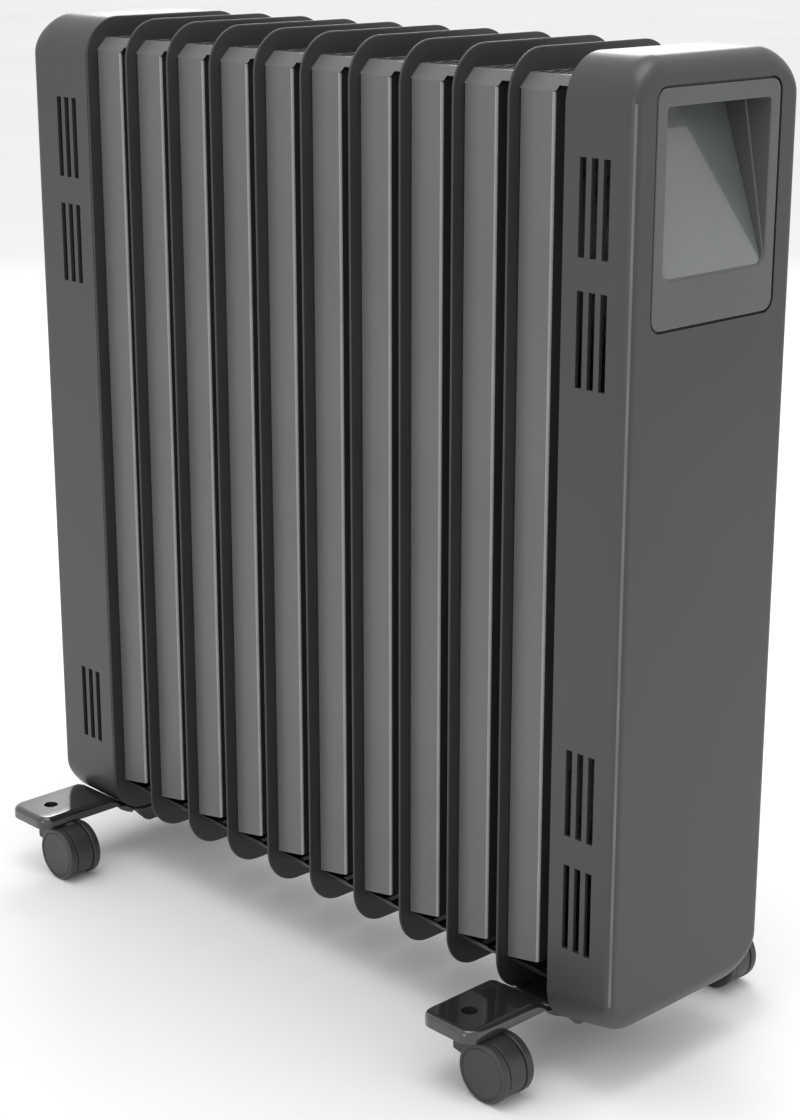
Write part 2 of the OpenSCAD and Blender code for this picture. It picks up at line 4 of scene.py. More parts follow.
import bmesh
import bpy
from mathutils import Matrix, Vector


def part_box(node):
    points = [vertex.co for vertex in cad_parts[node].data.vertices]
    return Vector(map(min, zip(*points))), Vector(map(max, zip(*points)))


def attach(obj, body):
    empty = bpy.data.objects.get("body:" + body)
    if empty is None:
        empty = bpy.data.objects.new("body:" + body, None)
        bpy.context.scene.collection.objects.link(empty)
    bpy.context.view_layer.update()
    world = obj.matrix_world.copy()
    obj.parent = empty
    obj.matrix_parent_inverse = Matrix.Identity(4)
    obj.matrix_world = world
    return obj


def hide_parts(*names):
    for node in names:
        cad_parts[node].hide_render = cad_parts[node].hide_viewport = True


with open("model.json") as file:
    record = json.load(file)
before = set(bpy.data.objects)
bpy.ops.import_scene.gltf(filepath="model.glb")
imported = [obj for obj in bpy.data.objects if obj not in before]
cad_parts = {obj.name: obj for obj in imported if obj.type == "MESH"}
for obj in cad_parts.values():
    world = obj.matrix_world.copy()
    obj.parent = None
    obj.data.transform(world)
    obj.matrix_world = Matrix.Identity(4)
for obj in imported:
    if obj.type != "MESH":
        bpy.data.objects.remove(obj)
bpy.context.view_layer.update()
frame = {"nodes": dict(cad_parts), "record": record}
mm = 0.001
print("frame loaded")


def linear(hexCode):  # sRGB hex to the linear colour that a shader takes
    parts = [int(hexCode[i:i + 2], 16) / 255 for i in (1, 3, 5)]
    return [p / 12.92 if p <= 0.04045 else ((p + 0.055) / 1.055) ** 2.4 for p in parts] + [1.0]


def addNode(tree, kind, inputs=None, **settings):  # one node with its settings and its links
    made = tree.nodes.new(kind)
    for name, value in settings.items():
        setattr(made, name, value)
    for name, value in (inputs or {}).items():
        if isinstance(value, bpy.types.NodeSocket):
            tree.links.new(value, made.inputs[name])
        else:
            made.inputs[name].default_value = value
    return made


def perMetre(sizeInMm):  # texture scale for a pattern whose features are this big
    return 1000 / sizeInMm


def coating(name, look):
    # colour drifts slowly between two tones, with fine specks, uneven gloss and a grain in the bump
    material = bpy.data.materials.new(name)
    material.use_nodes = True
    tree = material.node_tree
    shader = tree.nodes["Principled BSDF"]
    place = addNode(tree, "ShaderNodeTexCoord").outputs["Object"]
    cloud = addNode(tree, "ShaderNodeTexNoise", {
        "Vector": place, "Scale": perMetre(look["cloud"]), "Detail": 3.0, "Roughness": 0.55})
    speck = addNode(tree, "ShaderNodeTexNoise", {
        "Vector": place, "Scale": perMetre(look["speck"]), "Detail": 2.0, "Roughness": 0.6})
    drift = addNode(tree, "ShaderNodeMapRange", {
        "Value": cloud.outputs["Fac"], "From Min": 0.3, "From Max": 0.7})
    base = addNode(tree, "ShaderNodeMix", {
        0: drift.outputs["Result"], 6: linear(look["dark"]), 7: linear(look["light"])}, data_type="RGBA")
    fleck = addNode(tree, "ShaderNodeMapRange", {
        "Value": speck.outputs["Fac"], "From Min": 0.35, "From Max": 0.65,
        "To Min": 1 - look["speckShade"], "To Max": 1 + look["speckShade"]})
    shaded = addNode(tree, "ShaderNodeVectorMath", {
        0: base.outputs[2], 1: fleck.outputs["Result"]}, operation="MULTIPLY")
    tree.links.new(shaded.outputs[0], shader.inputs["Base Color"])
    gloss = addNode(tree, "ShaderNodeMapRange", {
        "Value": cloud.outputs["Fac"], "From Min": 0.3, "From Max": 0.7,
        "To Min": look["smooth"], "To Max": look["rough"]})
    tree.links.new(gloss.outputs["Result"], shader.inputs["Roughness"])
    grain = addNode(tree, "ShaderNodeTexNoise", {
        "Vector": place, "Scale": perMetre(look["grain"]), "Detail": 2.5, "Roughness": 0.5})
    bump = addNode(tree, "ShaderNodeBump", {
        "Height": grain.outputs["Fac"], "Strength": look["bump"], "Distance": look["depth"] * mm})
    tree.links.new(bump.outputs["Normal"], shader.inputs["Normal"])
    shader.inputs["IOR"].default_value = look.get("ior", 1.5)
    shader.inputs["Metallic"].default_value = look.get("metallic", 0.0)
    shader.inputs["Coat Weight"].default_value = look.get("coat", 0.0)
    shader.inputs["Coat Roughness"].default_value = look.get("coatRoughness", 0.1)
    return material


def powderCoatedSteel():  # baked powder: dark, satin, with a faint orange peel
    return coating("powderCoatedSteel", {
        "dark": "#2b2c2c", "light": "#313232", "cloud": 90, "speck": 1.6, "speckShade": 0.05,
        "smooth": 0.34, "rough": 0.42, "grain": 2.2, "bump": 0.22, "depth": 0.12})


def satinCoatedSteel():  # lighter satin coat on the folded air channels, smoother than the fins
    return coating("satinCoatedSteel", {
        "dark": "#595959", "light": "#606060", "cloud": 120, "speck": 1.4, "speckShade": 0.03,
        "smooth": 0.36, "rough": 0.43, "grain": 2.4, "bump": 0.16, "depth": 0.1})


def mouldedAbs():  # moulded ABS with a fine spark-eroded grain, drawn at 1.5 mm so that it shows
    return coating("mouldedAbs", {
        "dark": "#343434", "light": "#393939", "cloud": 140, "speck": 1.3, "speckShade": 0.035,
        "smooth": 0.33, "rough": 0.4, "grain": 1.5, "bump": 0.2, "depth": 0.08})


def bendHighlightSteel():  # painted highlight: a lighter, glossier tone on the bend faces stands in for the light that each rounded fold catches
    return coating("bendHighlightSteel", {
        "dark": "#8c8c8c", "light": "#979797", "cloud": 30, "speck": 1.0, "speckShade": 0.05,
        "smooth": 0.28, "rough": 0.36, "grain": 1.8, "bump": 0.14, "depth": 0.06})


def edgeHighlightAbs():  # painted highlight: a lighter, glossier tone on the covers' rounded vertical edges draws the bright line of light along them
    return coating("edgeHighlightAbs", {
        "dark": "#5c5c5c", "light": "#686868", "cloud": 40, "speck": 1.0, "speckShade": 0.04,
        "smooth": 0.16, "rough": 0.22, "grain": 1.6, "bump": 0.06, "depth": 0.05})


def holeShadeBlack():  # painted shade: the sheet's cut edges and hole walls are dull and almost black, standing in for the shade inside the holes so they read dark
    return coating("holeShadeBlack", {
        "dark": "#0c0c0c", "light": "#131313", "cloud": 8, "speck": 0.9, "speckShade": 0.1,
        "smooth": 0.88, "rough": 0.96, "grain": 1.0, "bump": 0.2, "depth": 0.04, "ior": 1.3})


def semiGlossAbs():  # the bezel's cooler grey, moulded in a polished tool
    return coating("semiGlossAbs", {
        "dark": "#4f5152", "light": "#545657", "cloud": 80, "speck": 1.3, "speckShade": 0.02,
        "smooth": 0.2, "rough": 0.27, "grain": 2.6, "bump": 0.08, "depth": 0.06})


def backPaintedAcrylic():  # grey ink behind clear acrylic: a clear glossy coat over an even tone
    return coating("backPaintedAcrylic", {
        "dark": "#616464", "light": "#676a6a", "cloud": 60, "speck": 0.9, "speckShade": 0.012,
        "smooth": 0.22, "rough": 0.28, "grain": 30, "bump": 0.03, "depth": 0.2,
        "coat": 1.0, "coatRoughness": 0.05, "ior": 1.49})


def stovedEnamel():  # glossy dark enamel on the pressed feet
    return coating("stovedEnamel", {
        "dark": "#222222", "light": "#272727", "cloud": 70, "speck": 1.2, "speckShade": 0.04,
        "smooth": 0.14, "rough": 0.22, "grain": 3.2, "bump": 0.12, "depth": 0.1,
        "coat": 1.0, "coatRoughness": 0.08})


def mouldedNylon():  # dull tough caster plastic with faint scuffs
    return coating("mouldedNylon", {
        "dark": "#292929", "light": "#303030", "cloud": 14, "speck": 1.0, "speckShade": 0.06,
        "smooth": 0.38, "rough": 0.52, "grain": 1.4, "bump": 0.25, "depth": 0.08, "ior": 1.53})


def zincPlatedSteel():  # bright passivated zinc with a slightly cloudy grain
    return coating("zincPlatedSteel", {
        "dark": "#a9a9a4", "light": "#c4c4bd", "cloud": 6, "speck": 0.8, "speckShade": 0.06,
        "smooth": 0.26, "rough": 0.4, "grain": 0.9, "bump": 0.15, "depth": 0.04, "metallic": 1.0})


def blackenedSteel():  # chemically blackened screws, oily and near black
    return coating("blackenedSteel", {
        "dark": "#2a2a2b", "light": "#3a3a3b", "cloud": 4, "speck": 0.7, "speckShade": 0.08,
        "smooth": 0.3, "rough": 0.45, "grain": 0.9, "bump": 0.2, "depth": 0.04, "metallic": 1.0})


def turnedBrass():  # machined brass plug with fine tool marks
    return coating("turnedBrass", {
        "dark": "#b08d4a", "light": "#c9a45c", "cloud": 5, "speck": 0.6, "speckShade": 0.06,
        "smooth": 0.22, "rough": 0.34, "grain": 0.6, "bump": 0.15, "depth": 0.03, "metallic": 1.0})


def heatTintedSteel():  # element tube browned by heat
    return coating("heatTintedSteel", {
        "dark": "#6d5644", "light": "#8a7460", "cloud": 12, "speck": 1.0, "speckShade": 0.08,
        "smooth": 0.3, "rough": 0.48, "grain": 0.8, "bump": 0.15, "depth": 0.04, "metallic": 1.0})


def mattRubber():  # EPDM rubber: nearly black and dull, with a soft bloom
    return coating("mattRubber", {
        "dark": "#1b1b1b", "light": "#242424", "cloud": 8, "speck": 0.8, "speckShade": 0.08,
        "smooth": 0.6, "rough": 0.75, "grain": 1.1, "bump": 0.3, "depth": 0.06, "ior": 1.52})


def creamNylon():  # natural heat-stabilised nylon of switches
    return coating("creamNylon", {
        "dark": "#cfcabb", "light": "#dcd8ca", "cloud": 10, "speck": 0.9, "speckShade": 0.03,
        "smooth": 0.4, "rough": 0.5, "grain": 1.2, "bump": 0.15, "depth": 0.05, "ior": 1.53})


def solderMask():  # green lacquer over woven glass, glossy where the copper runs
    return coating("solderMask", {
        "dark": "#12431f", "light": "#1d5a2c", "cloud": 3, "speck": 0.8, "speckShade": 0.1,
        "smooth": 0.2, "rough": 0.35, "grain": 0.7, "bump": 0.2, "depth": 0.04})


finishes = {
    "fin_paint": powderCoatedSteel(),
    "channel_paint": satinCoatedSteel(),
    "cover_plastic": mouldedAbs(),
    "bezel_plastic": semiGlossAbs(),
    "panel_glass": backPaintedAcrylic(),
    "circuit_board": solderMask(),
    "zinc_steel": zincPlatedSteel(),
    "black_screw": blackenedSteel(),
    "brass": turnedBrass(),
    "element_tube": heatTintedSteel(),
    "black_rubber": mattRubber(),
    "pale_plastic": creamNylon(),
    "foot_paint": stovedEnamel(),
    "caster_plastic": mouldedNylon(),
}
# painted light: two lighter, glossier tones stand in for highlights along bends and edges, and a near-black
# one stands in for the shade in the grille's holes
lightAndShadeFinishes = {"steel": bendHighlightSteel(), "abs": edgeHighlightAbs(), "cut": holeShadeBlack()}
for row in frame["record"]["subparts"]:
    for holder in frame["nodes"][row["node"]].material_slots:
        holder.material = finishes[row["material_slot"]]
print("materials made")


def boxOf(node):  # lowest and highest corner of a CAD node, in mm
    low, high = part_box(node)
    return low / mm, high / mm


def roundedPath(corners, steps=6, closed=True):
    # corners are (x, y, radius); a radius of 0 keeps the corner sharp
    path = []
    for i, (x, y, radius) in enumerate(corners):
        here = Vector((x, y))
        atEnd = not closed and i in (0, len(corners) - 1)
        if radius == 0 or atEnd:
            path.append((x, y))
            continue
        before = (Vector(corners[i - 1][:2]) - here).normalized()
        after = (Vector(corners[(i + 1) % len(corners)][:2]) - here).normalized()
        half = before.angle(after) / 2
        middle = here + (before + after).normalized() * radius / math.sin(half)
        start = here + before * radius / math.tan(half) - middle
        stop = here + after * radius / math.tan(half) - middle
        fromAngle = math.atan2(start.y, start.x)
        sweep = (math.atan2(stop.y, stop.x) - fromAngle + math.pi) % (2 * math.pi) - math.pi
        for k in range(steps + 1):
            angle = fromAngle + sweep * k / steps
            path.append((middle.x + radius * math.cos(angle), middle.y + radius * math.sin(angle)))
    return path


def roundedRect(width, height, radius, centre=(0, 0), steps=8):  # one radius, or one per corner
    x, y = width / 2, height / 2
    spots = [(x, -y), (x, y), (-x, y), (-x, -y)]
    radii = radius if isinstance(radius, (list, tuple)) else [radius] * 4
    return roundedPath([(centre[0] + a, centre[1] + b, r) for (a, b), r in zip(spots, radii)], steps)


def arcSteps(count):  # angles from 0 to a quarter turn
    return [math.pi / 2 * k / count for k in range(count + 1)]


def joinRings(rings, closed=True):  # quads between rings that have the same number of points
    points = [p for ring in rings for p in ring]
    size = len(rings[0])
    span = size if closed else size - 1
    faces = []
    for r in range(len(rings) - 1):
        for k in range(span):
            n = (k + 1) % size
            faces.append([r * size + k, r * size + n, (r + 1) * size + n, (r + 1) * size + k])
    return points, faces


def makePiece(name, points, faces, slot, towards=None):
    # points are in mm; the face nearest to the point towards, where one is given, is turned to look at it
    mesh = bpy.data.meshes.new(name)
    mesh.from_pydata([[c * mm for c in p] for p in points], [], faces)
    work = bmesh.new()
    work.from_mesh(mesh)
    bmesh.ops.remove_doubles(work, verts=work.verts, dist=0.002 * mm)
    bmesh.ops.recalc_face_normals(work, faces=work.faces)
    if towards is not None:
        target = Vector(towards) * mm
        nearest = min(work.faces, key=lambda f: (f.calc_center_median() - target).length)
        if nearest.normal.dot(target - nearest.calc_center_median()) < 0:
            bmesh.ops.reverse_faces(work, faces=work.faces)
    work.to_mesh(mesh)
    work.free()
    piece = bpy.data.objects.new(name, mesh)
    bpy.context.scene.collection.objects.link(piece)
    mesh.materials.append(finishes[slot])
    return piece


def thicken(piece, thickness, rimFinish=0, even=True):  # sheet thickness, grown inwards
    shell = piece.modifiers.new("thickness", "SOLIDIFY")
    shell.thickness = thickness * mm
    shell.offset = -1
    shell.use_even_offset = even
    shell.material_offset_rim = rimFinish


def paintFaces(piece, finish, chosen):  # a second finish on the faces that the test picks
    piece.data.materials.append(finish)
    index = len(piece.data.materials) - 1
    for polygon in piece.data.polygons:
        if chosen(polygon):
            polygon.material_index = index


def soften(piece, width, degrees=40, segments=2):  # small radius on the sharp edges
    bevel = piece.modifiers.new("softEdges", "BEVEL")
    bevel.width = width * mm
    bevel.segments = segments
    bevel.limit_method = "ANGLE"
    bevel.angle_limit = math.radians(degrees)


def settle(piece, degrees=32):  # bakes the modifiers into the mesh and shades it
    graph = bpy.context.evaluated_depsgraph_get()
    mesh = bpy.data.meshes.new_from_object(piece.evaluated_get(graph))
    mesh.name = piece.name
    piece.modifiers.clear()
    piece.data = mesh
    for polygon in mesh.polygons:
        polygon.use_smooth = True
    mesh.set_sharp_from_angle(angle=math.radians(degrees))
    weighted = piece.modifiers.new("faceWeights", "WEIGHTED_NORMAL")
    weighted.keep_sharp = True
    return piece


def copies(piece, name, offsets):  # linked copies along X, offsets in mm
    made = []
    for i, offset in enumerate(offsets, start=1):
        twin = piece.copy()
        twin.name = f"{name}_{i}"
        twin.location.x = offset * mm
        bpy.context.scene.collection.objects.link(twin)
        made.append(twin)
    bpy.data.objects.remove(piece)
    return made


def lathe(profile, segments):  # profile of (radius, along); the axis is X
    size = len(profile)
    points, faces = [], []
    for k in range(segments):
        angle = 2 * math.pi * k / segments
        points += [(along, r * math.cos(angle), r * math.sin(angle)) for r, along in profile]
        n = (k + 1) % segments
        faces += [[k * size + j, k * size + j + 1, n * size + j + 1, n * size + j] for j in range(size - 1)]
    return points, faces


def circle(radius, centre, count):  # points round a circle
    turns = [math.tau * k / count for k in range(count)]
    return [(centre[0] + radius * math.cos(t), centre[1] + radius * math.sin(t)) for t in turns]


def upright(profile, centre, count=40):  # rings of a turned piece along Z; profile of (radius, height)
    return [[(x, y, z) for x, y in circle(r, centre, count)] for r, z in profile]


def faceUp(work, face, side):  # turns the whole mesh over if this face looks away from side
    if face.normal.dot(Vector(side)) < 0:
        bmesh.ops.reverse_faces(work, faces=work.faces)


finNames = sorted((n for n in frame["nodes"] if n.startswith("fin_")), key=lambda n: int(n[4:]))
finFaces = [boxOf(n.replace("fin", "channel"))[0].x for n in finNames]  # right face of each plate
plateLow, plateHigh = boxOf(finNames[0])
channelLow, channelHigh = boxOf("channel_1")


finValues = {
    "thickness": 1.8, "corner": 27, "flatFrom": 2.4, "rimSteps": 8,
    "chamberMargin": 8, "chamberCorner": 20,
    "chamberRings": ((0, 0), (0.4, 6), (1.2, 8.2), (3, 9.6), (5, 10)),  # how far in, and how deep
}


def finPlate():
    v = finValues
    middle = (0, (plateLow.z + plateHigh.z) / 2)
    width, height = plateHigh.y - plateLow.y, plateHigh.z - plateLow.z
    half = v["thickness"] / 2

    def ring(inset, x):
        outline = roundedRect(width - 2 * inset, height - 2 * inset, v["corner"] - inset, middle, 12)
        return [(x, y, z) for y, z in outline]

    rings = [ring(v["flatFrom"], -2 * half)]
    for k in range(v["rimSteps"] + 1):  # the edge is rolled to a full round
        angle = math.pi * (k / v["rimSteps"] - 0.5)
        rings.append(ring(half * (1 - math.cos(angle)), -half + half * math.sin(angle)))
    rings.append(ring(v["flatFrom"], 0))
    points, faces = joinRings(rings)
    size = len(rings[0])
    faces.append(list(range(size)))
    faces.append(list(range(len(points) - size, len(points))))
    # pressed oil chamber on the right face, hidden by the air channel
    coreWidth = channelHigh.y - channelLow.y - 2 * v["chamberMargin"]
    coreHeight = channelHigh.z - channelLow.z - 2 * v["chamberMargin"]
    coreMiddle = (0, (channelLow.z + channelHigh.z) / 2)
    coreRings = []
    for inset, x in v["chamberRings"]:
        outline = roundedRect(coreWidth - 2 * inset, coreHeight - 2 * inset,
                              v["chamberCorner"] - inset, coreMiddle)
        coreRings.append([(x, y, z) for y, z in outline])
    corePoints, coreFaces = joinRings(coreRings)
    coreFaces.append(list(range(len(corePoints) - len(coreRings[0]), len(corePoints))))
    start = len(points)
    points += corePoints
    faces += [[start + i for i in face] for face in coreFaces]
    return settle(makePiece("finPlate", points, faces, "fin_paint"))


for piece, node in zip(copies(finPlate(), "finPlate", finFaces), finNames):
    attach(piece, "radiator")
    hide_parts(node)
print("fins made")


channelValues = {
    "sheet": 0.8, "bend": 2.2, "lipBend": 1.6, "lip": 4, "standOff": 0.3, "hole": 38.8,
    "lowEndRise": 5,  # slant of the lower end, higher on the side away from the plate
    "bendFrom": 0.35, "bendTo": 0.94,  # share of X in a face's direction: over a bend, and past it
}


def airChannel():
    v = channelValues
    width, half = channelHigh.x - channelLow.x, channelHigh.y
    left = v["standOff"]
    profile = roundedPath([
        (left, -half + v["lip"], 0), (left, -half, v["lipBend"]), (width, -half, v["bend"]),
        (width, half, v["bend"]), (left, half, v["lipBend"]), (left, half - v["lip"], 0)], 5, closed=False)
    rings = [[(x, y, channelLow.z + v["lowEndRise"] * (x - left) / (width - left)) for x, y in profile],
             [(x, y, channelHigh.z) for x, y in profile]]
    points, faces = joinRings(rings, closed=False)
    wallStart = max(k for k, (x, y) in enumerate(profile[:len(profile) // 2]) if abs(x - width) < 1e-6)
    faces = [f for f in faces if f[0] != wallStart]
    piece = makePiece("airChannel", points, faces, "channel_paint")
    # side wall with the two holes for the oil collars
    work = bmesh.new()
    edge = half - v["bend"]
    lowEnd = channelLow.z + v["lowEndRise"]
    loops = [[(-edge, lowEnd), (edge, lowEnd), (edge, channelHigh.z), (-edge, channelHigh.z)]]
    low, high = boxOf("oil_collars")
    radius = v["hole"] / 2
    collarRadius = (high.y - low.y) / 2
    for z in (low.z + collarRadius, high.z - collarRadius):
        loops.append(circle(radius, (0, z), 32))
    edges = []
    for loop in loops:
        verts = [work.verts.new((width * mm, y * mm, z * mm)) for y, z in loop]
        edges += [work.edges.new((verts[k - 1], verts[k])) for k in range(len(verts))]
    bmesh.ops.triangle_fill(work, use_beauty=True, edges=edges)
    work.from_mesh(piece.data)
    bmesh.ops.remove_doubles(work, verts=work.verts, dist=0.01 * mm)
    bmesh.ops.recalc_face_normals(work, faces=work.faces)
    faceUp(work, min(work.faces, key=lambda f: f.calc_center_median().y), (0, -1, 0))
    work.to_mesh(piece.data)
    work.free()
    # painted shade: the channel's side wall facing +X, deep in the gap beside the next plate, takes the
    # darker fin paint so that the gap reads dark
    paintFaces(piece, finishes["fin_paint"], lambda f: f.normal.x > v["bendTo"])
    # painted highlight: the faces over the bends take a lighter, glossier tone
    paintFaces(piece, lightAndShadeFinishes["steel"], lambda f: v["bendFrom"] < abs(f.normal.x) < v["bendTo"])
    thicken(piece, v["sheet"])
    return settle(piece, 50)


for piece, node in zip(copies(airChannel(), "airChannel", finFaces), finNames):
    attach(piece, "radiator")
    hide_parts(node.replace("fin", "channel"))


grilleValues = {
    "pitch": 6.6, "holeFlats": 5.4, "cells": 6, "fold": 8.5, "lip": 3, "bend": 1.8, "sheet": 0.8,
    "widthUnderPlate": 42.9,
}


def topGrille():
    v = grilleValues
    step = v["pitch"] / 2
    columns = 2 * v["cells"]
    margin = (v["widthUnderPlate"] - columns * step) / 2
    half = channelHigh.y
    flat = half - v["fold"]
    rows = int(2 * (flat - v["bend"]) / v["pitch"])
    firstRow = -rows * v["pitch"] / 2
    top = v["fold"]
    points, faces = [], []
    seen = {}

    def spot(x, y, z=top):
        key = (round(x, 4), round(y, 4), round(z, 4))
        if key not in seen:
            seen[key] = len(points)
            points.append((x, y, z))
        return seen[key]

    xs = [margin + k * step for k in range(columns + 1)]
    holeRadius = v["holeFlats"] / 2 / math.cos(math.pi / 6)
    for r in range(rows):
        low, high = firstRow + r * v["pitch"], firstRow + (r + 1) * v["pitch"]
        k = 0
        if r % 2:
            faces.append([spot(xs[0], low), spot(xs[1], low), spot(xs[1], high), spot(xs[0], high)])
            k = 1
        while k + 2 <= columns:
            cx, cy = xs[k + 1], (low + high) / 2
            frameOf = [(xs[k + 1], high), (xs[k + 2], high), (xs[k + 2], low),
                       (xs[k + 1], low), (xs[k], low), (xs[k], high)]
            sixths = [math.pi / 3 * j for j in range(6)]
            hexagon = [(cx + holeRadius * math.sin(t), cy + holeRadius * math.cos(t)) for t in sixths]
            for j in range(6):
                n = (j + 1) % 6
                faces.append([spot(*frameOf[j]), spot(*frameOf[n]), spot(*hexagon[n]), spot(*hexagon[j])])
            k += 2
        if k < columns:
            faces.append([spot(xs[k], low), spot(xs[k + 1], low), spot(xs[k + 1], high), spot(xs[k], high)])
        for a, b in ((0, xs[0]), (xs[-1], v["widthUnderPlate"])):
            faces.append([spot(a, low), spot(b, low), spot(b, high), spot(a, high)])
    # sloping front and rear edges; the edge is higher over the gap beside the channel
    allX = [0] + xs + [v["widthUnderPlate"]]
    gapFrom = channelHigh.x - channelLow.x
    slope = roundedPath([(-firstRow, top, 0), (flat, top, v["bend"]),
                         (half - v["lip"], v["lip"], 0), (half, 0, 0)], 3, closed=False)
    for side in (-1, 1):
        for j in range(len(slope) - 1):
            for a, b in zip(allX, allX[1:]):
                if j == len(slope) - 2 and (a + b) / 2 > gapFrom:
                    continue
                (ya, za), (yb, zb) = slope[j], slope[j + 1]
                faces.append([spot(a, side * ya, za), spot(b, side * ya, za),
                              spot(b, side * yb, zb), spot(a, side * yb, zb)])
    points = [(x, y, z + channelHigh.z) for x, y, z in points]
    above = (v["widthUnderPlate"] / 2, 0, channelHigh.z + 200)
    piece = makePiece("topGrille", points, faces, "channel_paint", towards=above)
    # painted shade: the sheet's rims, the walls of the hex holes among them, take the near-black finish so
    # the holes read dark
    piece.data.materials.append(lightAndShadeFinishes["cut"])
    thicken(piece, v["sheet"], rimFinish=1)
    return settle(piece, 50)


for piece in copies(topGrille(), "topGrille", finFaces):
    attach(piece, "radiator")
    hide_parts("top_grilles")
print("channels made")


coverValues = {
    "wall": 2.5, "corner": 28, "edge": 5, "end": 14, "soft": 0.35,
    "slotWidth": 4.9, "slotHeight": 56, "slotPitch": 8.9, "slotGap": 19, "slotFromEnd": 56,
    "upperRows": 2, "endCoverSlots": 39, "housingSlots": 29,  # from the outer face to the middle slot
    "underRise": 9, "arc": 10, "support": 0.8,  # support: ring that keeps the flat end flat
    "edgeFrom": 0.6, "edgeTo": 0.8, "edgeTilt": 0.1,  # direction of the faces that get the painted highlight line
}


def slotRows(zLow, zHigh, lowerRows):
    v = coverValues
    step = v["slotHeight"] + v["slotGap"]
    rows = [zHigh - v["slotFromEnd"] - v["slotHeight"] - r * step for r in range(v["upperRows"])]
    rows += [zLow + v["slotFromEnd"] + r * step for r in range(lowerRows)]
    return sorted((z, z + v["slotHeight"]) for z in rows)


def coverShell(name, node, outward, slotCentre, lowerRows, rise, hole=None):
    v = coverValues
    low, high = boxOf(node)
    length = high.x - low.x
    face = high.x if outward > 0 else low.x
    halfWidth = (high.y - low.y) / 2
    rows = slotRows(plateLow.z, plateHigh.z, lowerRows)
    levels = sorted(z for pair in rows for z in pair)
    slots = [(slotCentre + c * v["slotPitch"] - v["slotWidth"] / 2,
              slotCentre + c * v["slotPitch"] + v["slotWidth"] / 2) for c in (-1, 0, 1)]
    depths = {round(r * (1 - math.cos(a)), 5) for r in (v["edge"], v["end"]) for a in arcSteps(8)}
    depths |= {d for pair in slots for d in pair} | {length}
    depths = sorted(depths)

    def inset(radius, depth):
        return radius - math.sqrt(max(0, radius ** 2 - max(0, radius - depth) ** 2))

    def ring(depth, extra=0):
        sideIn = inset(v["edge"], depth) + extra
        endIn = inset(v["end"], depth) + extra
        bottom = low.z + rise * (1 - depth / length)
        y0 = halfWidth - v["corner"]
        zTop, zLow = high.z - v["corner"], bottom + v["corner"]
        a, b = v["corner"] - sideIn, v["corner"] - endIn
        quarter = arcSteps(v["arc"])
        outline = [(halfWidth - sideIn, z) for z in levels]
        outline += [(y0 + a * math.cos(t), zTop + b * math.sin(t)) for t in quarter]
        outline += [(y0 * k / 3, high.z - endIn) for k in (1, 0, -1)]
        outline += [(-y0 - a * math.sin(t), zTop + b * math.cos(t)) for t in quarter]
        outline += [(-halfWidth + sideIn, z) for z in reversed(levels)]
        outline += [(-y0 - a * math.cos(t), zLow - b * math.sin(t)) for t in quarter]
        outline += [(y0 * k / 3, bottom + endIn) for k in (-1, 0, 1)]
        outline += [(y0 + a * math.sin(t), zLow - b * math.cos(t)) for t in quarter]
        return [(face - outward * depth, y, z) for y, z in outline]

    rings = [ring(0, v["support"])] + [ring(d) for d in depths]
    points, faces = joinRings(rings)

    def inSlot(indices):
        centre = sum((Vector(points[i]) for i in indices), Vector()) / 4
        depth = abs(centre.x - face)
        beside = abs(abs(centre.y) - halfWidth) < 0.01
        return beside and any(a < depth < b for a, b in slots) and any(a < centre.z < b for a, b in rows)

    faces = [f for f in faces if not inSlot(f)]
    size = len(rings[0])
    if hole is None:
        faces.append(list(range(size)))
    piece = makePiece(name, points, faces, "cover_plastic")
    work = bmesh.new()
    work.from_mesh(piece.data)
    if hole is not None:
        rim = [e for e in work.edges if e.is_boundary and
               all(abs(vert.co.x - face * mm) < 1e-6 for vert in e.verts)]
        spots = [work.verts.new((face * mm, y * mm, z * mm)) for y, z in hole]
        rim += [work.edges.new((spots[k - 1], spots[k])) for k in range(len(spots))]
        bmesh.ops.triangle_fill(work, use_beauty=True, edges=rim)
        bmesh.ops.recalc_face_normals(work, faces=work.faces)
    faceUp(work, min(work.faces, key=lambda f: abs(f.calc_center_median().x - face * mm)), (outward, 0, 0))
    work.to_mesh(piece.data)
    work.free()
    # painted highlight: the faces on the rounded vertical edges take a lighter, glossier tone, drawn as a
    # bright line
    paintFaces(piece, lightAndShadeFinishes["abs"], lambda f: abs(f.normal.z) < v["edgeTilt"]
               and v["edgeFrom"] < abs(f.normal.x) < v["edgeTo"])
    thicken(piece, v["wall"])
    soften(piece, v["soft"])
    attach(piece, "radiator")
    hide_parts(node)
    return settle(piece)


bezelValues = {  # a land is the flat strip beside a rounded edge
    "height": 136, "corner": 8, "gap": 0.8, "shutLine": 0.5, "thickness": 2.5, "edge": 0.9, "land": 0.7,
    "windowWidth": 92, "windowHeight": 97, "windowEdge": 0.8, "windowLand": 0.6,
    "windowCorner": (7, 2.5, 2.5, 7), "rim": 11, "recess": 34,
    "step": 0.9, "stepHeight": 547, "stepDepth": 5, "stepRise": 14, "stepRun": 60,  # line on the wall
    "glass": 3, "glassBehind": 0.9, "glassGap": 0.04, "glassEdge": 0.5, "glassLand": 1.4, "glassBack": 1.2,
    "ledge": ((-1.5, 2.7), (2.6, 2.7), (3.0, 3.1), (3.0, 3.6), (2.6, 4.0), (-1.5, 4.0)),  # in, deep
}
faceX = boxOf("control_housing")[1].x
bezelLow, bezelHigh = boxOf("control_bezel")
bezelMiddle = (0, bezelHigh.z - bezelValues["height"] / 2)


def bezelOutline(inset):
    v = bezelValues
    width = bezelHigh.y - bezelLow.y - 2 * inset
    return roundedRect(width, v["height"] - 2 * inset, v["corner"] - inset, bezelMiddle)


def bezelRing(inset, depth):  # the bezel's outline, this far behind the outer face
    return [(faceX - depth, y, z) for y, z in bezelOutline(inset)]


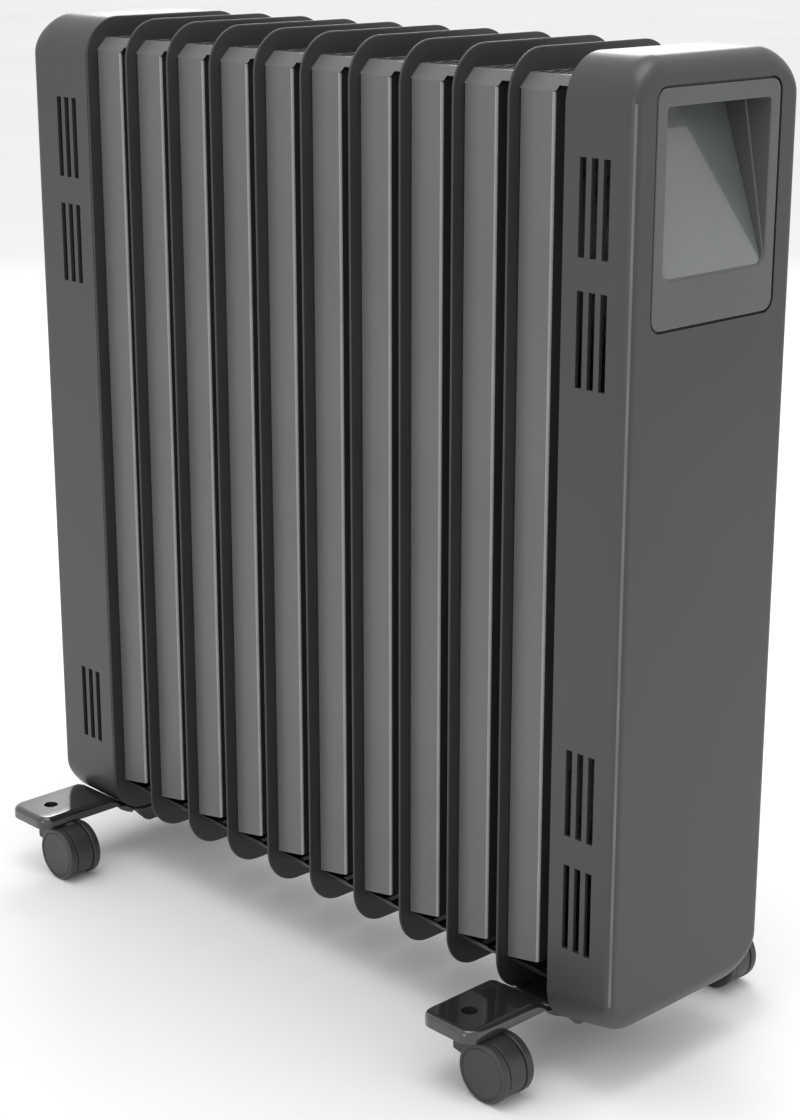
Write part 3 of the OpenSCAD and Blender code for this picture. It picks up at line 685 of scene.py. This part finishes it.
def bezelLedge():  # seat behind the bezel's rim, so nothing shows through the shut line
    rings = [bezelRing(inset, depth) for inset, depth in bezelValues["ledge"]]
    points, faces = joinRings(rings + rings[:1])
    ledge = makePiece("bezelLedge", points, faces, "cover_plastic")
    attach(ledge, "radiator")
    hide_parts("control_housing")
    settle(ledge, 40)


coverShell("endCoverShell", "end_cover", -1, coverValues["endCoverSlots"], 1, 0)
coverShell("controlHousingShell", "control_housing", 1, coverValues["housingSlots"], 2,
           coverValues["underRise"], bezelOutline(-bezelValues["gap"]))
bezelLedge()
print("covers made")


def windowOutline(inset):
    v = bezelValues
    top = bezelHigh.z - v["rim"]
    middle = (0, top - v["windowHeight"] / 2)
    radii = [max(0.6, r - inset) for r in v["windowCorner"]]
    return roundedRect(v["windowWidth"] - 2 * inset, v["windowHeight"] - 2 * inset, radii, middle)


def panelDepth(z):  # how far the sloping panel lies behind the outer face at height z
    v = bezelValues
    bottom = bezelHigh.z - v["rim"] - v["windowHeight"]
    return max(0, z - bottom) * v["recess"] / v["windowHeight"]


def controlBezel():
    v = bezelValues
    line, edge, reach = v["shutLine"], v["edge"], v["windowEdge"]
    rings = [bezelRing(line, v["thickness"])]
    rings += [bezelRing(line + edge * (1 - math.cos(a)), edge * (1 - math.sin(a))) for a in arcSteps(4)]
    rings.append(bezelRing(line + edge + v["land"], 0))
    rings.append([(faceX, y, z) for y, z in windowOutline(-reach - v["windowLand"])])
    for a in arcSteps(4):
        rings.append([(faceX - reach * (1 - math.cos(a)), y, z)
                      for y, z in windowOutline(-reach * (1 - math.sin(a)))])
    # the recess wall steps in by a little on a slanting line that runs out towards the bottom
    wall = windowOutline(0)
    stepped = windowOutline(v["step"])
    slant = [v["stepDepth"] + (z - v["stepHeight"]) * v["stepRise"] / v["stepRun"] for y, z in wall]
    stepAt = [min(panelDepth(z) + 1.0, max(reach + 0.1, d)) for d, (y, z) in zip(slant, wall)]
    rings.append([(faceX - d, y, z) for d, (y, z) in zip(stepAt, wall)])
    rings.append([(faceX - d - 0.6, y, z) for d, (y, z) in zip(stepAt, stepped)])
    rings.append([(faceX - max(panelDepth(z) + 2.0, d + 0.8), y, z) for d, (y, z) in zip(stepAt, stepped)])
    points, faces = joinRings(rings)
    piece = makePiece("controlBezel", points, faces, "bezel_plastic",
                      towards=(faceX + 100, 0, bezelLow.z))
    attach(piece, "radiator")
    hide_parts("control_bezel")
    return settle(piece, 40)


def touchPanel():
    v = bezelValues
    front, side, edge = v["glassBehind"], v["step"] + v["glassGap"], v["glassEdge"]

    def ring(inset, depth):
        return [(faceX - panelDepth(z) - depth, y, z) for y, z in windowOutline(inset)]

    rings = [ring(side, front + v["glass"] - v["glassBack"])]
    rings += [ring(side + edge * (1 - math.cos(a)), front + edge * (1 - math.sin(a))) for a in arcSteps(3)]
    rings.append(ring(v["step"] + v["glassLand"], front))
    points, faces = joinRings(rings)
    size = len(rings[0])
    faces.append(list(range(size)))
    faces.append(list(range(len(points) - size, len(points))))
    piece = makePiece("touchPanel", points, faces, "panel_glass", towards=(faceX + 100, 0, bezelMiddle[1]))
    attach(piece, "radiator")
    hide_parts("touch_panel")
    return settle(piece)


controlBezel()
touchPanel()
print("control end made")


footValues = {
    "tipWidth": 45, "midWidth": 59, "tipCorner": 10, "blendFrom": 40, "blendTo": 64, "topRound": 4,
    "tipRim": 8.5, "midRim": 14, "sheet": 2, "rimFrom": 40, "rimTo": 60, "soft": 0.4,
    "saddleGap": 0.3, "creaseReach": 5, "creaseDip": 1.3,  # dip where the saddle meets the flat tip
    "stemInset": 23, "stemHole": 10.6, "sleeve": 16,
    "strips": 5, "stemPatch": (14, 8),  # strips across the top, and the patch round each stem hole
}


def smoothStep(t):
    t = min(1, max(0, t))
    return t * t * (3 - 2 * t)


def footBracket(name, node):
    v = footValues
    low, high = boxOf(node)
    middleX = (low.x + high.x) / 2
    halfLength = high.y
    tipTop = high.z
    arcY, arcZ = plateHigh.y - finValues["corner"], plateLow.z + finValues["corner"]
    arcR = finValues["corner"] + v["saddleGap"]
    saddleEnd = arcY + math.sqrt(arcR ** 2 - (arcZ - tipTop) ** 2)

    def topAt(y):
        y = abs(y)
        if y <= arcY:
            return plateLow.z - v["saddleGap"]
        if y >= saddleEnd + v["creaseReach"]:
            return tipTop
        curve = arcZ - math.sqrt(max(0.01, arcR ** 2 - (min(y, saddleEnd) - arcY) ** 2))
        return curve - v["creaseDip"] * smoothStep(1 - abs(y - saddleEnd) / v["creaseReach"])

    def rimAt(y):
        t = smoothStep((abs(y) - v["rimFrom"]) / (v["rimTo"] - v["rimFrom"]))
        return (plateLow.z - v["midRim"]) * (1 - t) + (tipTop - v["tipRim"]) * t

    def halfWidthAt(y):
        t = smoothStep((abs(y) - v["blendFrom"]) / (v["blendTo"] - v["blendFrom"]))
        return (v["midWidth"] * (1 - t) + v["tipWidth"] * t) / 2

    # right side of the outline from rear to front, with its outward normals; finer along the saddle's ends
    stemYs = [halfLength - v["stemInset"], -halfLength + v["stemInset"]]
    patchX, patchY = v["stemPatch"]
    rearHalf = [k * 4 for k in range(13)] + [50 + k * 1.5 for k in range(12)] + [72, 80]
    stations = {round(sign * s, 3) for s in rearHalf for sign in (-1, 1)}
    stations = sorted(stations | {round(s + d, 3) for s in stemYs for d in (-patchY, patchY)})
    corner = v["tipCorner"]
    cornerX, cornerY = v["tipWidth"] / 2 - corner, halfLength - corner
    side = [(cornerX + corner * math.sin(t), cornerY + corner * math.cos(t), math.sin(t), math.cos(t))
            for t in arcSteps(7)]
    for y in reversed(stations):
        if abs(y) < halfLength - corner - 1:
            slope = halfWidthAt(y + 0.5) - halfWidthAt(y - 0.5)
            normal = Vector((1, -slope)).normalized()
            side.append((halfWidthAt(y), y, normal.x, normal.y))
    side += [(x, -y, nx, -ny) for x, y, nx, ny in reversed(side[:8])]  # the other corner
    outline = side + [(-x, y, -nx, ny) for x, y, nx, ny in reversed(side)]

    def ring(inset, drop):
        made = []
        for x, y, nx, ny in outline:
            px, py = x - nx * inset, y - ny * inset
            made.append((middleX + px, py, topAt(py) - drop))
        return made

    rings = [[(middleX + x, y, rimAt(y)) for x, y, nx, ny in outline]]
    shoulder = v["topRound"]
    rings += [ring(shoulder * (1 - math.cos(a)), shoulder * (1 - math.sin(a))) for a in arcSteps(6)]
    points, faces = joinRings(rings)
    # top between the two long sides, with the stem holes left open for the fill below
    size = len(outline)
    last = len(points) - size
    half = len(side)
    across = v["strips"]
    grid = []
    for k in range(half):
        a, b = Vector(points[last + k]), Vector(points[last + size - 1 - k])
        line = [last + k]
        for j in range(1, across):
            points.append(tuple(a.lerp(b, j / across)))
            line.append(len(points) - 1)
        line.append(last + size - 1 - k)
        grid.append(line)
    for k in range(half - 1):
        ya, yb = points[grid[k][0]][1], points[grid[k + 1][0]][1]
        nearStem = any(abs((ya + yb) / 2 - s) < patchY - 0.1 for s in stemYs)
        for j in range(across):
            if not (nearStem and 0 < j < across - 1):
                faces.append([grid[k][j], grid[k][j + 1], grid[k + 1][j + 1], grid[k + 1][j]])
    piece = makePiece(name, points, faces, "foot_paint", towards=(middleX, 0, 400))
    work = bmesh.new()
    work.from_mesh(piece.data)
    for s in stemYs:
        rim = [e for e in work.edges if e.is_boundary and all(
            abs(vert.co.y / mm - s) < patchY + 0.1 and abs(vert.co.x / mm - middleX) < patchX
            and abs(vert.co.z / mm - tipTop) < 0.01 for vert in e.verts)]
        spots = [work.verts.new((x * mm, y * mm, tipTop * mm))
                 for x, y in circle(v["stemHole"] / 2, (middleX, s), 32)]
        rim += [work.edges.new((spots[k - 1], spots[k])) for k in range(len(spots))]
        bmesh.ops.triangle_fill(work, use_beauty=True, edges=rim)
    bmesh.ops.recalc_face_normals(work, faces=work.faces)
    faceUp(work, max(work.faces, key=lambda f: f.calc_center_median().z), (0, 0, 1))
    work.to_mesh(piece.data)
    work.free()
    thicken(piece, v["sheet"], even=False)
    soften(piece, v["soft"])
    settle(piece, 40)
    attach(piece, "radiator")
    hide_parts(node)
    # pressed sleeves that the stems turn in
    for k, s in enumerate(stemYs, start=1):
        bore, wall = v["stemHole"] / 2, v["sleeve"] / 2
        lowEnd, highEnd = tipTop - v["tipRim"], tipTop - v["sheet"]
        profile = [(bore, highEnd), (bore, lowEnd + 0.4), (bore + 0.4, lowEnd), (wall - 0.6, lowEnd),
                   (wall, lowEnd + 0.6), (wall, highEnd)]
        rings = upright(profile, (middleX, s))
        sleeve = makePiece(f"{name}Sleeve_{k}", *joinRings(rings), "foot_paint")
        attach(settle(sleeve), "radiator")


footBracket("leftFoot", "left_foot")
footBracket("rightFoot", "right_foot")
print("feet made")


casterValues = {
    "radius": 20, "wheelWidth": 6, "overDiscs": 27, "bore": 5, "tyreRound": 1.5,
    "trail": 24, "hoodGap": 0.7, "hoodBelowWheel": 0.5, "heel": 3, "heelAngle": 0.05, "hoodSoft": 0.9,
    "sleeve": 16,
}


def wheelDisc():  # lathed disc with its outer face towards +X; the axis is at the origin
    v = casterValues
    r, t, hub, tyre = v["radius"], v["wheelWidth"], v["bore"] / 2, v["tyreRound"]
    profile = [(0, t - 1.4), (hub, t - 1.4), (hub, 0), (hub + 3, 0), (hub + 3, 2.6), (r - 4.2, 2.6),
               (r - 3.8, 2.2), (r - 3.6, 0.3), (r - 3.2, 0), (r - 1, 0)]
    profile += [(r - 1 + math.sin(a), 1 - math.cos(a)) for a in arcSteps(4)[1:]]
    profile += [(r - tyre + tyre * math.cos(a), t - tyre + tyre * math.sin(a)) for a in arcSteps(5)]
    profile += [(r - 2.6, t), (r - 2.9, t - 0.5), (r - 3.6, t - 0.5), (r - 4, t - 0.1),
                (6, t - 0.35), (0, t - 0.4)]  # groove inside the tyre, then a slightly dished face
    return lathe(profile, 64)


def casterWheels(k, node, axis):
    v = casterValues
    discPoints, discFaces = wheelDisc()
    points, faces = [], []
    for side in (-1, 1):
        start = len(points)
        points += [(axis.x + y, axis.y + side * (v["overDiscs"] / 2 - v["wheelWidth"] + x), axis.z + z)
                   for x, y, z in discPoints]
        faces += [[start + i for i in face] for face in discFaces]
    piece = makePiece(f"casterWheels_{k}", points, faces, "caster_plastic")
    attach(piece, f"wheels_{k}")
    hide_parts(node)
    return settle(piece, 30)


def casterHood(k, node, axis, swivel):
    v = casterValues
    low, high = boxOf(node)
    r = v["radius"] - v["hoodBelowWheel"]
    half = v["overDiscs"] / 2 - v["wheelWidth"] - v["hoodGap"]
    left, right, top = swivel.x - v["sleeve"] / 2, swivel.x + v["sleeve"] / 2, high.z

    def arc(fromAngle, toAngle, count):
        turns = [fromAngle + (toAngle - fromAngle) * i / count for i in range(count + 1)]
        return [(axis.x + r * math.cos(t), axis.z + r * math.sin(t)) for t in turns]

    cut = math.asin((low.z - axis.z) / r)  # where the flat underside starts
    outline = arc(cut, math.acos((right - axis.x) / r), 32)
    outline += [(right, top), (left, top), (left, axis.z + v["heel"])]
    outline += arc(math.pi - v["heelAngle"], math.pi - cut, 12)
    sides = [[(x, swivel.y + s * half, z) for x, z in outline] for s in (-1, 1)]
    points, faces = joinRings(sides)
    size = len(outline)
    faces.append(list(range(size)))
    faces.append(list(range(size, 2 * size)))
    hood = makePiece(f"casterHood_{k}", points, faces, "caster_plastic")
    soften(hood, v["hoodSoft"], 35, 3)
    settle(hood, 40)
    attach(hood, f"swivel_{k}")
    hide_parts(node)
    # round socket for the stem, on top of the hood
    bottom = axis.z + math.sqrt((v["radius"] + v["hoodGap"]) ** 2 - (v["trail"] - v["sleeve"] / 2) ** 2)
    wall = v["sleeve"] / 2
    profile = [(0, bottom), (wall - 1, bottom), (wall, bottom + 1), (wall, top - 1.2),
               (wall - 0.4, top - 0.4), (wall - 1.2, top), (5.4, top), (5.2, top - 1), (0, top - 1)]
    rings = upright(profile, (swivel.x, swivel.y))
    socket = makePiece(f"casterSocket_{k}", *joinRings(rings), "caster_plastic")
    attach(settle(socket, 40), f"swivel_{k}")


for k in range(1, 5):
    wheelLow, wheelHigh = boxOf(f"caster_wheels_{k}")
    stemLow, stemHigh = boxOf(f"caster_stem_{k}")
    axis = (wheelLow + wheelHigh) / 2
    swivel = (stemLow + stemHigh) / 2
    casterWheels(k, f"caster_wheels_{k}", axis)
    casterHood(k, f"caster_hood_{k}", axis, swivel)
print("casters made")


studioValues = {
    "air": 0.96, "floorReach": 30,
    "lamps": (  # power, size, place and target
        ("topSoftbox", 18, (1.6, 1.2), (0.3, -0.1, 2.4), (0, 0, 0.3)),
        ("frontSoftbox", 7, (0.5, 1.6), (0.6, -2.4, 0.9), (0.1, 0, 0.3)),
        ("rearSoftbox", 22, (1.5, 0.7), (-1.75, 1.75, 1.55), (0.1, 0, 0.6)),
    ),
    "lens": 72.07, "sensor": 36, "cameraPlace": (1.0834, -1.0108, 0.727),
    "cameraTilt": 73.08, "cameraTurn": 46.41,
}


def paleFloor():  # seamless pale backdrop paper
    material = coating("backdropPaper", {
        "dark": "#f1f1f1", "light": "#f6f6f6", "cloud": 900, "speck": 3, "speckShade": 0.004,
        "smooth": 0.85, "rough": 0.92, "grain": 4, "bump": 0.03, "depth": 0.1})
    mesh = bpy.data.meshes.new("floor")
    r = studioValues["floorReach"]
    mesh.from_pydata([(-r, -r, 0), (r, -r, 0), (r, r, 0), (-r, r, 0)], [], [(0, 1, 2, 3)])
    floor = bpy.data.objects.new("floor", mesh)
    bpy.context.scene.collection.objects.link(floor)
    mesh.materials.append(material)


def softLight(name, power, size, spot, target):
    lamp = bpy.data.lights.new(name, "AREA")
    lamp.energy = power
    lamp.shape = "RECTANGLE"
    lamp.size, lamp.size_y = size
    holder = bpy.data.objects.new(name, lamp)
    bpy.context.scene.collection.objects.link(holder)
    holder.visible_camera = False
    holder.location = spot
    holder.rotation_euler = (Vector(target) - Vector(spot)).to_track_quat("-Z", "Y").to_euler()


def studio():
    v = studioValues
    paleFloor()
    world = bpy.data.worlds.new("studioAir")
    world.use_nodes = True
    background = world.node_tree.nodes["Background"]
    background.inputs["Color"].default_value = linear("#ffffff")
    background.inputs["Strength"].default_value = v["air"]
    bpy.context.scene.world = world
    for lamp in v["lamps"]:
        softLight(*lamp)
    camera = bpy.data.cameras.new("camera")
    camera.lens = v["lens"]
    camera.sensor_width = v["sensor"]
    holder = bpy.data.objects.new("camera", camera)
    bpy.context.scene.collection.objects.link(holder)
    holder.location = v["cameraPlace"]
    holder.rotation_euler = (math.radians(v["cameraTilt"]), 0, math.radians(v["cameraTurn"]))
    bpy.context.scene.camera = holder
    bpy.context.scene.view_settings.view_transform = "Standard"
    bpy.context.scene.view_settings.look = "None"


studio()
print("studio made")
